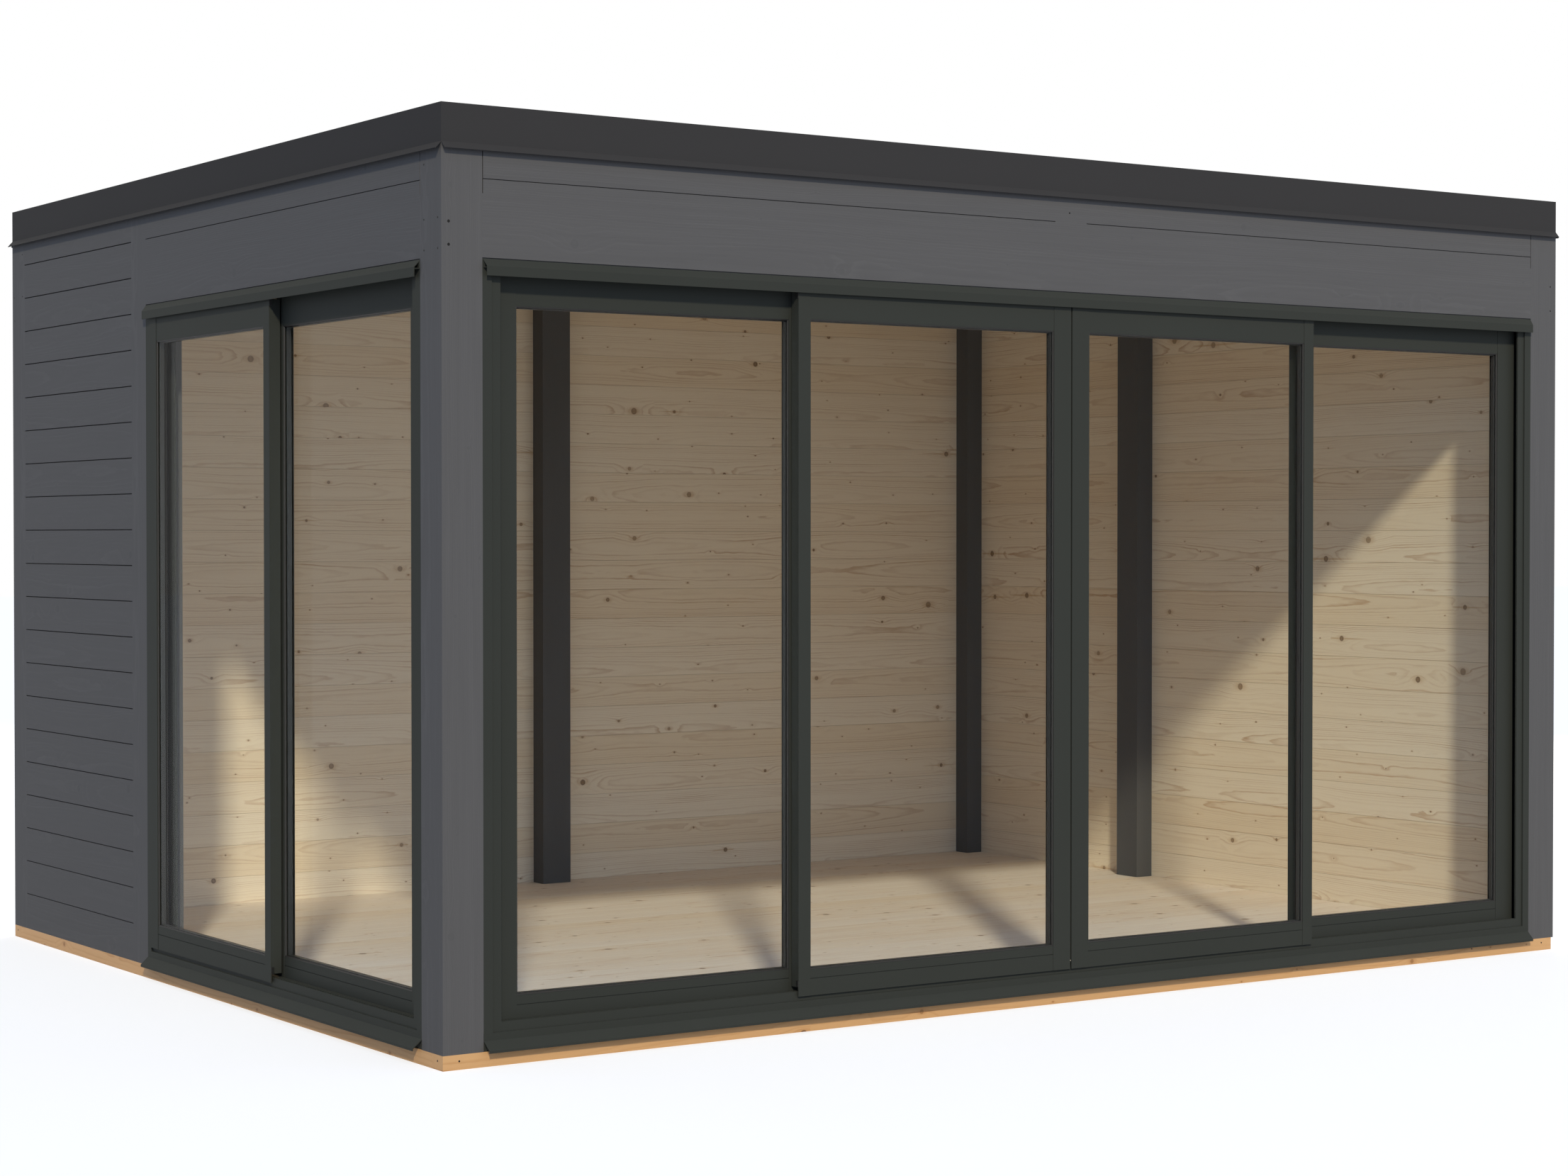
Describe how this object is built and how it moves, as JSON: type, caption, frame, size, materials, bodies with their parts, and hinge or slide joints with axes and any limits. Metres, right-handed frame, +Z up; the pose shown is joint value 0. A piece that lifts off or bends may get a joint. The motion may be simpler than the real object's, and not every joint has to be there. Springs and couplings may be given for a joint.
{
  "type": "garden office",
  "caption": "Flat-roofed timber garden room with grooved board walls, corner posts, a dark metal roof edge and glazed sliding doors on the front and one end.",
  "frame": {"origin": "middle of the wall plan, on the ground the base timbers rest on", "axes": "+X runs to the right along the front as seen by a person facing it, +Y runs from the front to the back, +Z is up"},
  "size_m": [4.243, 3.263, 2.52],
  "materials": {
    "painted_timber": "opaque mid-grey matt stain over planed softwood, vertical grain on posts",
    "painted_boards": "opaque mid-grey matt stain outside, bare pale pine inside",
    "base_timber": "bare orange-brown softwood, fine horizontal grain",
    "floor_boards": "bare pale pine boards",
    "roof_timber": "bare pale pine",
    "roof_edge_sheet": "matt dark grey coated sheet",
    "roof_covering": "black rubber membrane",
    "door_frame": "matt powder coat, very dark grey",
    "door_leaf": "matt powder coat, very dark grey",
    "flashing": "matt powder coat, very dark grey",
    "door_glass": "clear double glazing"
  },
  "bodies": {
    "building": {"back_fascia": "roof_edge_sheet", "back_left_post": "painted_timber", "back_middle_post": "painted_timber", "back_right_post": "painted_timber", "back_wall": "painted_boards", "cross_bearers": "base_timber", "floor": "floor_boards", "front_door_head": "door_frame", "front_door_head_flashing": "flashing", "front_door_jambs": "door_frame", "front_door_sill": "door_frame", "front_door_sill_flashing": "flashing", "front_fascia": "roof_edge_sheet", "front_fixed_left_glass": "door_glass", "front_fixed_left_sash": "door_leaf", "front_fixed_right_glass": "door_glass", "front_fixed_right_sash": "door_leaf", "front_header": "painted_timber", "front_left_post": "painted_timber", "front_right_post": "painted_timber", "left_fascia": "roof_edge_sheet", "left_middle_post": "painted_timber", "left_wall": "painted_boards", "long_bearers": "base_timber", "right_fascia": "roof_edge_sheet", "right_middle_post": "painted_timber", "right_wall": "painted_boards", "roof_deck": "roof_timber", "roof_joists": "roof_timber", "roof_membrane": "roof_covering", "side_door_head": "door_frame", "side_door_head_flashing": "flashing", "side_door_jambs": "door_frame", "side_door_sill": "door_frame", "side_door_sill_flashing": "flashing", "side_fixed_glass": "door_glass", "side_fixed_sash": "door_leaf", "side_header": "painted_timber"},
    "front_left_leaf": {"front_sliding_left_sash": "door_leaf", "front_sliding_left_glass": "door_glass"},
    "front_right_leaf": {"front_sliding_right_sash": "door_leaf", "front_sliding_right_glass": "door_glass"},
    "side_leaf": {"side_sliding_sash": "door_leaf", "side_sliding_glass": "door_glass"}
  },
  "joints": [
    {"name": "front_left_leaf_slide", "type": "slide", "parent": "building", "child": "front_left_leaf", "axis": [-1, 0, 0], "range_m": [0, 0.93]},
    {"name": "front_right_leaf_slide", "type": "slide", "parent": "building", "child": "front_right_leaf", "axis": [1, 0, 0], "range_m": [0, 0.93]},
    {"name": "side_leaf_slide", "type": "slide", "parent": "building", "child": "side_leaf", "axis": [0, -1, 0], "range_m": [0, 0.885]}
  ]
}
